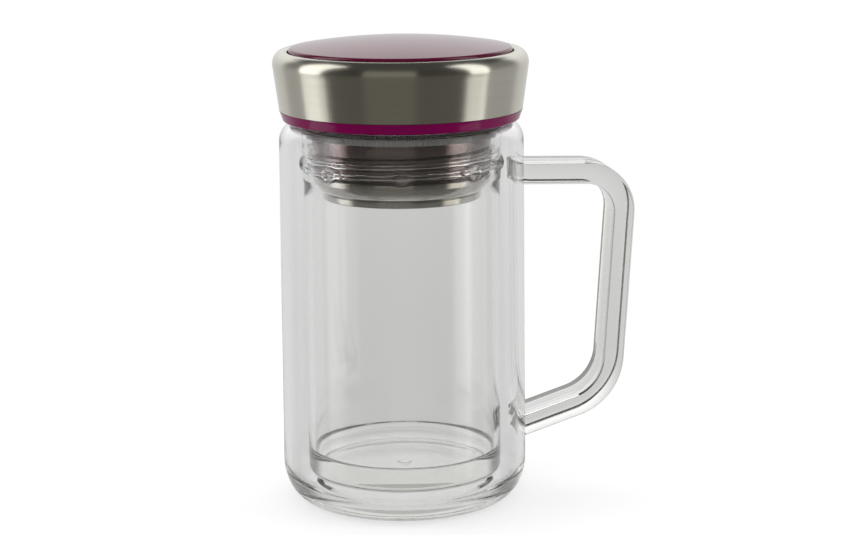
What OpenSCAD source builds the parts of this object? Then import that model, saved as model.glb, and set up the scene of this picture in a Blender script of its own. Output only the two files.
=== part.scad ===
// Double-wall glass mug with a screw lid and a push-on tea strainer.
// Millimetres, +Z up, origin at the centre of the foot on the mug's axis. The handle points along +X.

/* [Glass body] */
// Height of the glass, foot to rim
glass_height = 123; // [110:0.5:140]
// Radius of the outer wall under the shoulder
glass_top_r = 38.75; // [37.5:0.05:41]
// Radius of the outer wall above the base corner
glass_base_r = 39.3; // [37.5:0.05:42]
// Thickness of the outer wall
outer_wall = 2.2; // [1.6:0.1:2.8]
// Radius of the shoulder under the rim
shoulder_r = 6.5; // [5:0.1:7]
// How far the base corner reaches in from the wall
base_corner_in = 8.8; // [6:0.1:13]
// How far the base corner reaches up the wall
base_corner_up = 13; // [8:0.1:16]
// Thickness of the outer floor over the foot
outer_floor = 5; // [4:0.1:6]
// Width of the ring that the mug stands on
foot_width = 1.2; // [1:0.1:3]
// Height of the kick-up inside the foot ring
kick_up = 2.4; // [1.8:0.1:3]
// Run of the kick-up's sloping side
kick_slope = 2.4; // [2:0.1:8]
// Radius of the drop of glass that closes the exhaust hole
seal_tip_r = 2.4; // [2:0.1:4]
// Height of that drop's lowest point
seal_tip_z = 1; // [0.6:0.1:1.2]

/* [Inner cup] */
// Gap between the outer wall, at its top, and the inner cup
wall_gap = 5.35; // [4.05:0.05:6.05]
// Thickness of the inner cup's wall
cup_wall = 1.8; // [1.4:0.1:2.2]
// Air gap under the inner cup
floor_gap = 3.2; // [1.5:0.1:6]
// Thickness of the inner cup's floor
cup_floor = 8; // [4:0.1:10]
// Radius of the corner under the inner cup
cup_corner_r = 3; // [2:0.1:6]
// Radius of the corner inside the cup
bowl_corner_r = 1.6; // [1:0.1:4]
// Straight height of the hollow over the weld of the two walls
hollow_rise = 0.1; // [0.1:0.1:1]
// Radius of the rim's inner edge
rim_edge_r = 1.6; // [0.8:0.1:2.2]
// Thickness of the glass at the neck
neck_wall = 1.5; // [1.2:0.1:1.8]
// Depth of the neck under the rim
neck_depth = 18; // [17:0.1:21]
// Height of the slope between cup and neck
neck_slope = 1.5; // [1:0.1:4]
// Number of moulded beads round the neck
bead_count = 8; // [1:1:12]
// Radius of a neck bead's outline
bead_r = 3; // [2:0.1:3.4]
// How far a bead stands out of the neck
bead_height = 0.7; // [0.4:0.1:1]
// Depth of the beads' centres under the rim
bead_depth = 14; // [10:0.1:14.5]
// Turn of the first bead from the handle, in degrees
bead_turn = -98; // [-180:1:180]

/* [Thread] */
// Pitch of the single-start right-hand thread
pitch = 3.2; // [3:0.1:4]
// Turns of the ridge in the glass neck
neck_turns = 2.5; // [1.5:0.25:2.75]
// Height of the neck's ridge over the neck's lower end
neck_thread_rise = 1.6; // [1.5:0.1:2.4]
// Turns of the ridge on the plug
plug_turns = 2; // [1.25:0.25:2.25]
// How far the crest of the neck's ridge stands in from the glass wall
neck_inset = 9.95; // [9.35:0.05:10.55]
// Radial depth of the thread in the neck
thread_depth = 1.2; // [0.9:0.05:1.3]
// Radial clearance between the plug's crest and the neck
crest_gap = 0.4; // [0.3:0.05:0.5]
// Radial clearance between the neck's crest and the plug
root_gap = 0.6; // [0.3:0.05:0.8]
// Width of a ridge where it leaves its wall
ridge_foot = 1.8; // [1.2:0.1:1.8]
// Width of a ridge's crest
ridge_crest = 0.7; // [0.4:0.1:0.9]
// Turn over which a ridge fades in and out, in degrees
ridge_fade = 40; // [20:5:60]

/* [Lid] */
// Gap between the glass rim and the lid's underside
rim_gap = 0.1; // [0.05:0.05:0.3]
// Height of the collar between glass and band
collar_height = 3.3; // [2.8:0.1:5]
// Width of the collar
collar_width = 4.5; // [3.5:0.1:6]
// How far the collar's lower edge stands in from the glass wall
collar_inset = 1.15; // [0.4:0.05:2]
// Rounding of the collar's lower edge
collar_round = 0.8; // [0.3:0.1:1.2]
// How far the steel band's lower edge stands in from the glass wall
band_inset = 0.25; // [0:0.05:1]
// How far the band flares out on the way up
band_flare = 1.9; // [1:0.05:3]
// Height of the band's flaring side
band_side = 14.4; // [12:0.1:18]
// How far the band's rounded shoulder reaches in
crown_in = 3.2; // [2.5:0.05:3.6]
// Height of the band's rounded shoulder
crown_up = 4.25; // [3:0.05:5]
// Thickness of the band's sheet
band_sheet = 0.8; // [0.5:0.05:0.9]
// How far the band's lip reaches in from the shoulder
lip_in = 1.45; // [1.2:0.05:2]
// How far the band's lip drops from its top
lip_drop = 0.6; // [0.3:0.05:1]
// Clearance round the disc
disc_gap = 0.5; // [0.3:0.05:0.8]
// Thickness of the disc at its edge
disc_edge = 3.2; // [2.6:0.1:4]
// Rounding of the disc's top edge
disc_round = 1; // [0.5:0.1:1.5]
// Rise of the disc's dome
disc_dome = 2.9; // [1:0.1:4]
// How far the disc's edge stands above the band
disc_proud = 0.85; // [0:0.05:1]
// Thickness of the adhesive pad
pad_thick = 0.6; // [0.4:0.1:1]
// How far the pad's edge stands in from the disc's
pad_inset = 2; // [1:0.5:6]
// Thickness of the core's top plate
core_plate = 2.2; // [1.5:0.1:3]
// Thickness of the core's skirt and locating ring
core_wall = 1.6; // [1.2:0.1:1.8]
// Clearance of the core in the band
core_gap = 0.1; // [0.05:0.05:0.3]

/* [Plug] */
// Thickness of the plug's wall
plug_wall = 2.4; // [1.8:0.1:3]
// Depth of the plug's lower shoulder under the glass rim
plug_depth = 16; // [15.8:0.1:16.6]
// Chamfer of the plug's lower shoulder
plug_edge = 0.6; // [0.2:0.1:0.8]
// Thickness of the plug's flange
flange_thick = 2.2; // [1.6:0.1:2.4]
// Radial step from the plug's wall to the spigot
spigot_step = 2; // [1.8:0.1:2.4]
// Length of the spigot that carries the strainer
spigot_length = 2.4; // [2:0.1:2.6]
// Thickness of the spigot's wall
spigot_wall = 2; // [1.5:0.1:3]
// Thickness of the plate under the plug
plate_thick = 0.5; // [0.3:0.1:0.8]
// How far the plate's edge stands in from the spigot's
plate_inset = 0.2; // [0.1:0.1:1]
// Clearance of the rim gasket round the plug
gasket_fit = 0.3; // [0.2:0.1:0.6]
// How far the gasket covers the flat of the rim
gasket_cover = 1.1; // [0.6:0.1:1.2]
// Clearance over the gasket, under the flange
gasket_gap = 0.1; // [0.05:0.05:0.2]

/* [Strainer] */
// Radial clearance of the strainer's rim under the neck's ridge
bowl_gap = 0.6; // [0.3:0.05:1]
// Gap between the plug's shoulder and the strainer's rim
strainer_gap = 0.6; // [0.2:0.1:0.8]
// Thickness of the strainer's sheet
sheet = 0.5; // [0.3:0.05:0.6]
// Straight part of the bowl under its rim
bowl_straight = 1.4; // [1.1:0.1:1.8]
// How far the bowl curves in
bowl_in = 3.3; // [2.5:0.1:4.5]
// How far the bowl curves down
bowl_down = 4.2; // [3.5:0.1:5]
// Length of the bowl's lower lip
bowl_lip = 1.3; // [1:0.1:1.6]
// Thickness of the crimped ring
ring_thick = 0.6; // [0.4:0.05:0.8]
// Groove between the crimped ring and the bowl
ring_groove = 0.2; // [0.1:0.1:0.5]
// Width of the ring's lip under the mesh
ring_lip = 1.3; // [0.8:0.1:2]
// Thickness of the ring's lip under the mesh
ring_lip_thick = 0.3; // [0.2:0.05:0.5]
// Thickness of the perforated bottom
mesh_thick = 0.5; // [0.3:0.05:0.6]
// Diameter of a strainer hole
hole_d = 1.5; // [0.8:0.1:1.8]
// Distance between rings of holes
hole_pitch = 3.2; // [2.8:0.1:4]
// Least distance from a hole's middle to the crimped ring
hole_margin = 3; // [1.5:0.1:6]
// Height of the bowl's rim over its silicone ring
seal_inset = 0.1; // [0.1:0.1:0.5]
// Running clearance between the silicone ring and the spigot
seal_gap = 0.05; // [0.02:0.01:0.1]

/* [Handle] */
// Width of the glass strap
strap_width = 16; // [10:0.5:20]
// Thickness of the glass strap
strap_thick = 6.9; // [5:0.1:8]
// Rounding of the strap's long edges
strap_round = 1; // [0.5:0.1:2.4]
// Depth of the upper arm's middle under the rim
arm_top_depth = 17.8; // [14:0.1:22]
// Fall of the upper arm away from the wall, in degrees
arm_fall = 1.5; // [0:0.1:4]
// Distance from the mug's axis to the grip's middle at its top
grip_reach = 71; // [66:0.1:80]
// Lean of the grip towards the mug on the way down, in degrees
grip_lean = 3.7; // [0:0.1:6]
// Height of the lower arm's middle at the wall
arm_low_z = 22; // [20:0.1:30]
// Rise of the lower arm away from the wall, in degrees
arm_rise = 18.2; // [5:0.1:25]
// Middle radius of the upper bend
bend_top_r = 12.5; // [8:0.1:18]
// Middle radius of the lower bend
bend_low_r = 17.6; // [10:0.1:24]

/* [Hidden] */
$fn = 96;

arc_steps = 12;
edge_steps = 4;
thread_steps = 60;
bury = 0.3;

// Heights of the glass
shoulder_z = glass_height - shoulder_r;
cup_bottom_z = outer_floor + floor_gap;
cup_floor_z = cup_bottom_z + cup_floor;
neck_z = glass_height - neck_depth;
neck_thread_z = neck_z + neck_thread_rise;
bead_z = glass_height - bead_depth;
arm_top_z = glass_height - arm_top_depth;

// Heights of the lid
lid_z = glass_height + rim_gap;
band_z = lid_z + collar_height;
band_wide_z = band_z + band_side;
band_top_z = band_wide_z + crown_up;
lip_z = band_top_z - lip_drop;
core_top_z = lip_z - band_sheet - core_gap;
disc_edge_z = band_top_z + disc_proud;
disc_z = disc_edge_z - disc_edge;
pad_z = disc_z - pad_thick;
plate_low_z = pad_z - core_plate;
flange_z = band_z - flange_thick;
plug_low_z = glass_height - plug_depth;
plug_thread_z = neck_thread_z + pitch / 2;
spigot_z = plug_low_z - spigot_length;

// Heights of the strainer, from its rim down
bowl_top_z = plug_low_z - strainer_gap;
bowl_bend_z = bowl_top_z - bowl_straight;
bowl_waist_z = bowl_bend_z - bowl_down;
bowl_low_z = bowl_waist_z - bowl_lip;
mesh_z = bowl_low_z - mesh_thick;
ring_z = mesh_z - ring_lip_thick;

// Radii of the glass
neck_crest_r = glass_top_r - neck_inset;
neck_r = neck_crest_r + thread_depth;
neck_out_r = neck_r + neck_wall;
cup_r = glass_top_r - outer_wall - wall_gap;
cup_in_r = cup_r - cup_wall;
foot_r = glass_base_r - base_corner_in;
rim_top_r = neck_r + rim_edge_r;

// Radii of the lid
band_low_r = glass_top_r - band_inset;
band_max_r = band_low_r + band_flare;
band_top_r = band_max_r - crown_in;
band_mouth_r = band_top_r - lip_in;
collar_low_r = glass_top_r - collar_inset;
flange_r = band_low_r - collar_width;
disc_r = band_mouth_r - disc_gap;
core_r = band_low_r - band_sheet - core_gap;
plug_crest_r = neck_r - crest_gap;
plug_r = neck_crest_r - root_gap;
plug_bore_r = plug_r - plug_wall;
spigot_r = plug_r - spigot_step;
spigot_bore_r = spigot_r - spigot_wall;

// Radii of the strainer
bowl_r = neck_crest_r - bowl_gap;
waist_r = bowl_r - bowl_in;
hole_rings = floor((waist_r - ring_lip - hole_margin) / hole_pitch);

// Handle directions as angles in the X-Z plane: out along the upper arm, down the grip, in along the lower arm
arm_dir = -arm_fall;
grip_dir = -90 - grip_lean;
low_dir = -180 + arm_rise;

// Middle line of the strap: at the upper wall, on the grip, and at the lower wall
strap_top = [glass_base_r - outer_wall, arm_top_z];
strap_grip = [grip_reach, arm_top_z - bend_top_r];
strap_low = [glass_base_r - outer_wall, arm_low_z];
corner_top = crossing(strap_top, arm_dir, strap_grip, grip_dir);
corner_low = crossing(strap_grip, grip_dir, strap_low, low_dir);

function unit(a) = [cos(a), sin(a)];

// Where the line through p along angle a meets the line through q along angle b
function crossing(p, a, q, b) =
    let (
        u = unit(a),
        v = unit(b),
        t = ((q.x - p.x) * v.y - (q.y - p.y) * v.x) / (u.x * v.y - u.y * v.x)
    )
    p + t * u;

// Points on an arc of an ellipse about [cx, cz], from angle a0 to a1
function bow(cx, cz, rx, rz, a0, a1, steps = arc_steps) = [
    for (i = [0 : steps])
        let (a = a0 + (a1 - a0) * i / steps)
        [cx + rx * cos(a), cz + rz * sin(a)]
];

// Radius of a ball whose cap of the given height has the given outline radius
function cap_ball(outline_r, height) = (outline_r * outline_r + height * height) / (2 * height);

module turned(points) {
    rotate_extrude() polygon(points);
}

module tube(r_out, r_in, z, height) {
    translate([0, 0, z]) difference() {
        cylinder(r = r_out, h = height);
        translate([0, 0, -1]) cylinder(r = r_in, h = height + 2);
    }
}

// Triangles of a closed skin over rings of n points each, rings that turn clockwise about their way ahead
function skin(rings, n) =
    let (last = n * (rings - 1))
    concat(
        [
            for (i = [0 : rings - 2], k = [0 : n - 1])
                let (a = n * i + k, b = n * i + (k + 1) % n)
                each [[a, b, b + n], [a, b + n, a + n]]
        ],
        [for (k = [1 : n - 2]) [0, k + 1, k]],
        [for (k = [1 : n - 2]) [last, last + k, last + k + 1]]
    );

// Share of its full depth that a ridge has at angle a of its run
function ridge_share(a, run) = max(0.02, min(1, min(a, run - a) / ridge_fade));

// One section of a helical ridge: buried foot, then crest. side is -1 for a ridge that points to the axis.
function ridge_section(a, run, start_z, wall, depth, side) =
    let (
        z = start_z + pitch * a / 360,
        share = ridge_share(a, run),
        crest = wall + side * depth * share,
        half_crest = ridge_crest / 2 * share + ridge_foot / 2 * (1 - share),
        root = wall - side * bury
    )
    [
        [root * cos(a), root * sin(a), z - ridge_foot / 2],
        [root * cos(a), root * sin(a), z + ridge_foot / 2],
        [crest * cos(a), crest * sin(a), z + half_crest],
        [crest * cos(a), crest * sin(a), z - half_crest]
    ];

// A right-hand helical ridge on a cylinder of radius wall
module ridge(turns, start_z, wall, depth, side) {
    run = 360 * turns;
    steps = ceil(turns * thread_steps);
    points = [
        for (i = [0 : steps])
            each ridge_section(run * i / steps, run, start_z, wall, depth, side)
    ];
    faces = skin(steps + 1, 4);
    polyhedron(points, side < 0 ? faces : [for (f = faces) [f[0], f[2], f[1]]]);
}

// The corner between foot and outer wall, and the wall up to the shoulder
function outer_side() = concat(
    bow(foot_r, base_corner_up, base_corner_in, base_corner_up, -90, 0),
    [[glass_top_r, shoulder_z]]
);

module outer_glass() {
    floor_in = base_corner_in - outer_wall;
    floor_up = base_corner_up - outer_floor;
    kick_r = foot_r - foot_width;
    color([0.86, 0.88, 0.87, 0.4]) turned(concat(
        [[0, kick_up], [kick_r - kick_slope, kick_up], [kick_r, 0]],
        outer_side(),
        [[glass_top_r - outer_wall, shoulder_z]],
        bow(foot_r, base_corner_up, floor_in, floor_up, 0, -90),
        [[0, outer_floor]]
    ));
}

module neck_beads() {
    ball_r = cap_ball(bead_r, bead_height);
    intersection() {
        union() for (i = [0 : bead_count - 1])
            rotate([0, 0, bead_turn + 360 * i / bead_count])
                translate([neck_out_r + bead_height - ball_r, 0, bead_z]) sphere(r = ball_r);
        tube(neck_out_r + 2 * bead_height, neck_out_r - neck_wall / 2, bead_z - bead_r, 2 * bead_r);
    }
}

module inner_glass() {
    shoulder_at = glass_top_r - shoulder_r;
    hollow_round = shoulder_r - outer_wall;
    hollow_corner = shoulder_at - neck_out_r;
    hollow_z = shoulder_z + hollow_rise;
    color([0.86, 0.88, 0.87, 0.4]) union() {
        turned(concat(
            [[0, cup_bottom_z]],
            bow(cup_r - cup_corner_r, cup_bottom_z + cup_corner_r, cup_corner_r, cup_corner_r, -90, 0),
            [[cup_r, neck_z - neck_slope], [neck_out_r, neck_z]],
            bow(shoulder_at, hollow_z + hollow_round - hollow_corner, hollow_corner, hollow_corner, 180, 90, 6),
            bow(shoulder_at, hollow_z, hollow_round, hollow_round, 84, 0),
            [[glass_top_r - outer_wall, shoulder_z]],
            bow(shoulder_at, shoulder_z, shoulder_r, shoulder_r, 0, 90),
            bow(rim_top_r, glass_height - rim_edge_r, rim_edge_r, rim_edge_r, 90, 180),
            [[neck_r, neck_z], [cup_in_r, neck_z - neck_slope]],
            bow(cup_in_r - bowl_corner_r, cup_floor_z + bowl_corner_r, bowl_corner_r, bowl_corner_r, 0, -90),
            [[0, cup_floor_z]]
        ));
        ridge(neck_turns, neck_thread_z, neck_r, thread_depth, -1);
        neck_beads();
    }
}

module base_seal_tip() {
    drop = kick_up - seal_tip_z;
    ball_r = cap_ball(seal_tip_r, drop);
    color([0.86, 0.88, 0.87, 0.5]) intersection() {
        translate([0, 0, seal_tip_z + ball_r]) sphere(r = ball_r);
        translate([0, 0, kick_up - 2 * drop]) cylinder(r = 2 * seal_tip_r, h = 2 * drop);
    }
}

// Outline of the strap's cross-section: thickness along x, width along y
strap_outline = let (x = strap_thick / 2 - strap_round, y = strap_width / 2 - strap_round) concat(
    bow(x, y, strap_round, strap_round, 0, 90, edge_steps),
    bow(-x, y, strap_round, strap_round, 90, 180, edge_steps),
    bow(-x, -y, strap_round, strap_round, 180, 270, edge_steps),
    bow(x, -y, strap_round, strap_round, 270, 360, edge_steps)
);

// Places on a bend's middle line with their directions, from direction a to direction b
function bend_stops(corner, a, b, r) =
    let (centre = corner - r * tan((a - b) / 2) * unit(a) - r * unit(a + 90))
    [
        for (i = [0 : arc_steps])
            let (dir = a + (b - a) * i / arc_steps)
            [centre + r * unit(dir + 90), dir]
    ];

module glass_handle() {
    stops = concat(
        [[strap_top, arm_dir]],
        bend_stops(corner_top, arm_dir, grip_dir, bend_top_r),
        bend_stops(corner_low, grip_dir, low_dir, bend_low_r),
        [[strap_low, low_dir]]
    );
    points = [
        for (s = stops, o = strap_outline)
            let (p = s[0] + o.x * unit(s[1] + 90))
            [p.x, o.y, p.y]
    ];
    color([0.86, 0.88, 0.87, 0.5]) difference() {
        polyhedron(points, skin(len(stops), len(strap_outline)));
        turned(concat([[0, 0]], outer_side(), [[0, shoulder_z]]));
    }
}

module steel_band() {
    color([0.62, 0.61, 0.57]) turned(concat(
        [[band_low_r - band_sheet, band_z], [band_low_r, band_z]],
        bow(band_top_r, band_wide_z, crown_in, crown_up, 0, 90),
        bow(band_top_r, lip_z, lip_in, lip_drop, 90, 180),
        [[band_mouth_r, lip_z - band_sheet]],
        bow(band_top_r, band_wide_z, crown_in - band_sheet, crown_up - band_sheet, 90, 0)
    ));
}

module top_disc() {
    flat_r = disc_r - disc_round;
    dome_r = cap_ball(flat_r, disc_dome);
    color([0.42, 0.02, 0.2]) union() {
        turned(concat(
            [[0, disc_z], [disc_r, disc_z]],
            bow(flat_r, disc_edge_z - disc_round, disc_round, disc_round, 0, 90),
            [[0, disc_edge_z]]
        ));
        intersection() {
            translate([0, 0, disc_edge_z + disc_dome - dome_r]) sphere(r = dome_r, $fn = 360);
            translate([0, 0, disc_edge_z - disc_round]) cylinder(r = flat_r, h = disc_dome + 2 * disc_round);
        }
    }
}

module disc_pad() {
    color([0.2, 0.2, 0.2]) translate([0, 0, pad_z]) cylinder(r = disc_r - pad_inset, h = pad_thick);
}

module lid_core() {
    recess_r = disc_r + disc_gap / 2;
    plate_low_r = core_r + band_flare * (plate_low_z - band_z) / band_side;
    color([0.85, 0.84, 0.8]) turned([
        [0, plate_low_z], [flange_r - core_wall, plate_low_z],
        [flange_r - core_wall, band_z], [flange_r, band_z],
        [flange_r, plate_low_z], [plate_low_r - core_wall, plate_low_z],
        [core_r - core_wall, band_z], [core_r, band_z],
        [core_r + band_flare, band_wide_z], [band_top_r, core_top_z],
        [recess_r, core_top_z], [recess_r, pad_z], [0, pad_z]
    ]);
}

module collar() {
    color([0.5, 0, 0.27]) turned(concat(
        [[flange_r, lid_z], [collar_low_r - collar_round, lid_z]],
        bow(collar_low_r - collar_round, lid_z + collar_round, collar_round, collar_round, -90, 0),
        [[band_low_r, band_z], [flange_r, band_z]]
    ));
}

module screw_plug() {
    color([0.5, 0.48, 0.47]) union() {
        turned([
            [spigot_bore_r, spigot_z], [spigot_r, spigot_z], [spigot_r, plug_low_z],
            [plug_r - plug_edge, plug_low_z], [plug_r, plug_low_z + plug_edge],
            [plug_r, flange_z], [flange_r, flange_z], [flange_r, band_z],
            [plug_bore_r, band_z], [plug_bore_r, plug_low_z + plug_wall],
            [spigot_bore_r, plug_low_z + plug_wall]
        ]);
        ridge(plug_turns, plug_thread_z, plug_r, plug_crest_r - plug_r, 1);
    }
}

module plug_plate() {
    color([0.7, 0.69, 0.66]) translate([0, 0, spigot_z - plate_thick])
        cylinder(r = spigot_r - plate_inset, h = plate_thick);
}

module rim_gasket() {
    color([0.9, 0.9, 0.88])
        tube(rim_top_r + gasket_cover, plug_r + gasket_fit, lid_z, flange_z - gasket_gap - lid_z);
}

module strainer_bowl() {
    color([0.66, 0.65, 0.61]) turned(concat(
        [[waist_r - sheet, bowl_low_z], [waist_r, bowl_low_z]],
        bow(waist_r, bowl_bend_z, bowl_in, bowl_down, -90, 0),
        [[bowl_r, bowl_top_z], [bowl_r - sheet, bowl_top_z]],
        bow(waist_r - sheet, bowl_bend_z, bowl_in, bowl_down - sheet, 0, -90)
    ));
}

module strainer_mesh() {
    color([0.72, 0.71, 0.68]) difference() {
        translate([0, 0, mesh_z]) cylinder(r = waist_r, h = mesh_thick);
        translate([0, 0, mesh_z - 1]) {
            cylinder(d = hole_d, h = mesh_thick + 2, $fn = 24);
            for (ring = [1 : hole_rings], i = [0 : 6 * ring - 1])
                rotate([0, 0, 60 * i / ring]) translate([ring * hole_pitch, 0, 0])
                    cylinder(d = hole_d, h = mesh_thick + 2, $fn = 24);
        }
    }
}

module strainer_ring() {
    ring_top_z = bowl_waist_z - ring_groove;
    color([0.6, 0.59, 0.55]) turned([
        [waist_r - ring_lip, ring_z], [waist_r + ring_thick, ring_z],
        [waist_r + ring_thick, ring_top_z], [waist_r, ring_top_z],
        [waist_r, mesh_z], [waist_r - ring_lip, mesh_z]
    ]);
}

module strainer_seal() {
    color([0.9, 0.9, 0.88])
        tube(bowl_r - sheet, spigot_r + seal_gap, bowl_bend_z, bowl_straight - seal_inset);
}

outer_glass();
inner_glass();
glass_handle();
base_seal_tip();
steel_band();
top_disc();
disc_pad();
lid_core();
collar();
screw_plug();
plug_plate();
rim_gasket();
strainer_bowl();
strainer_mesh();
strainer_ring();
strainer_seal();
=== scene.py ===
"""Double-wall glass mug with a screw lid and a tea strainer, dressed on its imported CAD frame.

The sizes of the mug's pieces and the camera's place are in millimetres, those of the studio and of the
relief in a finish in metres. All stand in the CAD's own frame: +Z up, the origin at the centre of the foot,
the handle along +X. Meshes are built in metres.
"""

import logging
import math
from collections.abc import Callable, Iterable
from dataclasses import dataclass
from enum import Enum

import bpy
from mathutils import Matrix, Vector

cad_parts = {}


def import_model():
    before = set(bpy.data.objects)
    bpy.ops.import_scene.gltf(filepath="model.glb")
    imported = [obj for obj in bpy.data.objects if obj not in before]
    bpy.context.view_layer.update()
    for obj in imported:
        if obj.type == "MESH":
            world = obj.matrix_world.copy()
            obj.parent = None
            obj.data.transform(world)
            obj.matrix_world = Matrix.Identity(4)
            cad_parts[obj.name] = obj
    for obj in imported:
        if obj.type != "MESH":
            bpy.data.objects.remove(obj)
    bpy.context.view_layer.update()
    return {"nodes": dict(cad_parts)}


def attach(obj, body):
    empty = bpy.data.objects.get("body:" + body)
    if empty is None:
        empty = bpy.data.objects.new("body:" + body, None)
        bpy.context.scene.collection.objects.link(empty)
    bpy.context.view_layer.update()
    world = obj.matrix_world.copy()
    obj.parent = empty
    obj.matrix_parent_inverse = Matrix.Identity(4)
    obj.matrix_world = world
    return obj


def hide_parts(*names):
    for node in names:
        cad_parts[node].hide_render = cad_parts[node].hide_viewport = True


Point = tuple[float, float]
Color = tuple[float, float, float]
Inputs = dict[str | int, object]
Piece = bpy.types.Object
Socket = bpy.types.NodeSocket
Material = bpy.types.Material
MM = 0.001
# Metres within which points of a mesh, and of a profile, are one
WELD = 2e-6
SAME = 1e-7
# Millimetres of play in telling a wall by its radius
NEAR = 0.1
log = logging.getLogger("mug")


class Body(Enum):
    """The CAD bodies that pieces ride on."""

    MUG = "mug"
    GASKET = "gasket"
    LID = "lid"
    STRAINER = "strainer"


class Slot(Enum):
    """The record's material slots that the scene's own pieces stand for."""

    GLASS = "clear_glass"
    BAND = "brushed_band"
    DISC = "disc_gloss"
    COLLAR = "collar_gloss"
    PLUG = "plug_plastic"
    PLATE = "plate_steel"
    SILICONE = "silicone"
    STRAINER = "strainer_steel"


def arc(cx: float, cz: float, rx: float, rz: float, start: float, end: float, steps: int) -> list[Point]:
    """Points on an arc of an ellipse in a profile.

    Args:
        cx: Radius at the ellipse's centre.
        cz: Height of the ellipse's centre.
        rx: Half axis along the radius.
        rz: Half axis along the height.
        start: First angle in degrees, from the radius towards +Z.
        end: Last angle in degrees.
        steps: Number of chords.

    Returns:
        The points, both ends included.
    """
    angles = [math.radians(start + (end - start) * i / steps) for i in range(steps + 1)]
    return [(cx + rx * math.cos(a), cz + rz * math.sin(a)) for a in angles]


def circle(cx: float, cz: float, r: float, start: float, end: float, steps: int) -> list[Point]:
    """Points on an arc of a circle in a profile, by its centre, radius and angles."""
    return arc(cx, cz, r, r, start, end, steps)


def run(a: Point, b: Point, steps: int) -> list[Point]:
    """Points that divide a straight stretch of a profile.

    Args:
        a: First point.
        b: Last point.
        steps: Number of stretches.

    Returns:
        The points, both ends included.
    """
    return [(a[0] + (b[0] - a[0]) * i / steps, a[1] + (b[1] - a[1]) * i / steps) for i in range(steps + 1)]


class Bench:
    """The modelling moves that every piece shares."""

    @staticmethod
    def clear() -> None:
        """Leaves edit mode and deselects every object."""
        if bpy.context.object is not None and bpy.context.object.mode != "OBJECT":
            bpy.ops.object.mode_set(mode="OBJECT")
        bpy.ops.object.select_all(action="DESELECT")

    @staticmethod
    def pick(*pieces: Piece) -> None:
        """Selects pieces and makes the first of them active."""
        Bench.clear()
        for piece in pieces:
            piece.select_set(True)
        bpy.context.view_layer.objects.active = pieces[0]

    @staticmethod
    def close(hollow: bool = False) -> None:
        """Merges the open piece's doubled points, turns its faces one way and leaves edit mode.

        Args:
            hollow: True where the surface bounds a hollow, so that its faces point inwards.
        """
        bpy.ops.mesh.select_all(action="SELECT")
        bpy.ops.mesh.remove_doubles(threshold=WELD)
        bpy.ops.mesh.normals_make_consistent(inside=hollow)
        bpy.ops.object.mode_set(mode="OBJECT")

    @staticmethod
    def draw(name: str, points: Iterable[Point]) -> Piece:
        """Draws a profile in the X-Z plane, vertex by vertex.

        Args:
            name: Name of the new piece.
            points: The profile's points in millimetres, as radius and height.

        Returns:
            The new object, open in edit mode.
        """
        path = [Vector((r * MM, 0.0, z * MM)) for r, z in points]
        path = [p for i, p in enumerate(path) if i == 0 or (p - path[i - 1]).length > SAME]
        Bench.clear()
        bpy.ops.mesh.primitive_plane_add(size=MM, location=path[0])
        piece = bpy.context.object
        piece.name = piece.data.name = name
        bpy.ops.object.transform_apply(location=True, rotation=True, scale=True)
        bpy.ops.object.mode_set(mode="EDIT")
        bpy.ops.mesh.select_all(action="SELECT")
        bpy.ops.mesh.merge(type="CENTER")
        for before, after in zip(path, path[1:]):
            bpy.ops.mesh.extrude_region_move(TRANSFORM_OT_translate={"value": after - before})
        return piece

    @staticmethod
    def turn(name: str, points: Iterable[Point], steps: int, hollow: bool = False) -> Piece:
        """Spins a profile about the mug's axis into a closed round piece.

        Args:
            name: Name of the new piece.
            points: The profile in millimetres. It starts and ends on the axis, or ends where it starts.
            steps: Number of stretches round the axis.
            hollow: True where the surface bounds a hollow, so that its faces point inwards.

        Returns:
            The new object, in object mode.
        """
        piece = Bench.draw(name, points)
        bpy.ops.mesh.select_all(action="SELECT")
        bpy.ops.mesh.spin(steps=steps, angle=2 * math.pi, center=(0, 0, 0), axis=(0, 0, 1))
        Bench.close(hollow)
        return piece

    @staticmethod
    def lathe(name: str, points: Iterable[Point], steps: int = 192) -> Piece:
        """Turns a closed round piece and shades it smooth."""
        return Bench.smooth(Bench.turn(name, points, steps))

    @staticmethod
    def press(piece: Piece, share: Callable[[Vector], float], height: float) -> None:
        """Raises a relief out of a surface, as a displacement along its normals.

        Args:
            piece: The piece.
            share: Gives the share of the full height at a point in metres.
            height: Full height in millimetres.
        """
        group = piece.vertex_groups.new(name="relief")
        for v in piece.data.vertices:
            weight = share(v.co)
            if weight > 0.0:
                group.add([v.index], min(1.0, weight), "REPLACE")
        relief = piece.modifiers.new("relief", "DISPLACE")
        relief.vertex_group = group.name
        relief.mid_level = 0.0
        relief.strength = height * MM
        Bench.apply(piece)
        piece.vertex_groups.clear()

    @staticmethod
    def apply(piece: Piece) -> None:
        """Applies all of a piece's modifiers, in their order."""
        Bench.pick(piece)
        for modifier in list(piece.modifiers):
            bpy.ops.object.modifier_apply(modifier=modifier.name)

    @staticmethod
    def join(pieces: list[Piece]) -> Piece:
        """Joins pieces into the first of them."""
        Bench.pick(*pieces)
        bpy.ops.object.join()
        return pieces[0]

    @staticmethod
    def smooth(piece: Piece, angle: float = 40.0) -> Piece:
        """Shades a piece smooth, but for edges sharper than an angle in degrees, and gives it back."""
        Bench.pick(piece)
        bpy.ops.object.shade_smooth_by_angle(angle=math.radians(angle))
        Bench.clear()
        return piece


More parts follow.
